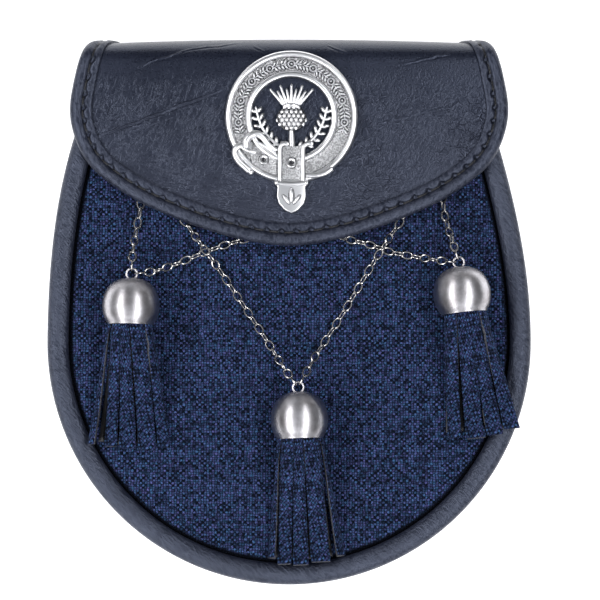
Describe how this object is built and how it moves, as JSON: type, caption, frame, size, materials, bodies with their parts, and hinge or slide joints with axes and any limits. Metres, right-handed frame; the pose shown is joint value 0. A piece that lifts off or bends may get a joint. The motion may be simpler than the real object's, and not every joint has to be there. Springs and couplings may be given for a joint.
{
  "type": "sporran pouch",
  "caption": "Leather kilt pouch with a woven front panel, a folded flap with a bound edge and cast badge, and fringed tassels under metal domes on fine chains.",
  "frame": {"origin": "middle of the box on the surface that the back rests on, the front face up", "axes": "+X to the right of the front, +Y to the fold of the flap, +Z out of the front"},
  "size_m": [0.1808, 0.2039, 0.053],
  "materials": {
    "smooth_leather": "smooth black leather with a fine crease, soft sheen",
    "grained_leather": "black leather with a crinkled grain, satin",
    "tweed": "fine hopsack of bright blue and near-black wool",
    "antique_pewter": "cast pewter, darkened in its hollows",
    "brushed_pewter": "brushed satin pewter",
    "chain_steel": "bright steel wire with a warm tarnish"
  },
  "bodies": {
    "root": {"gusset": "smooth_leather", "back_panel": "smooth_leather", "front_welt": "smooth_leather", "front_panel": "tweed", "flap": "grained_leather", "flap_binding": "smooth_leather", "strap_keeper": "smooth_leather", "snap": "chain_steel", "badge": "antique_pewter", "dome_left": "brushed_pewter", "dome_centre": "brushed_pewter", "dome_right": "brushed_pewter", "tassel_left": "tweed", "tassel_centre": "tweed", "tassel_right": "tweed", "chain_left_short": "chain_steel", "chain_left_long": "chain_steel", "chain_left_cross": "chain_steel", "chain_right_cross": "chain_steel", "chain_right_long": "chain_steel", "chain_right_short": "chain_steel", "staple_left_short": "chain_steel", "staple_left_long": "chain_steel", "staple_left_cross": "chain_steel", "staple_right_cross": "chain_steel", "staple_right_long": "chain_steel", "staple_right_short": "chain_steel"}
  },
  "joints": []
}
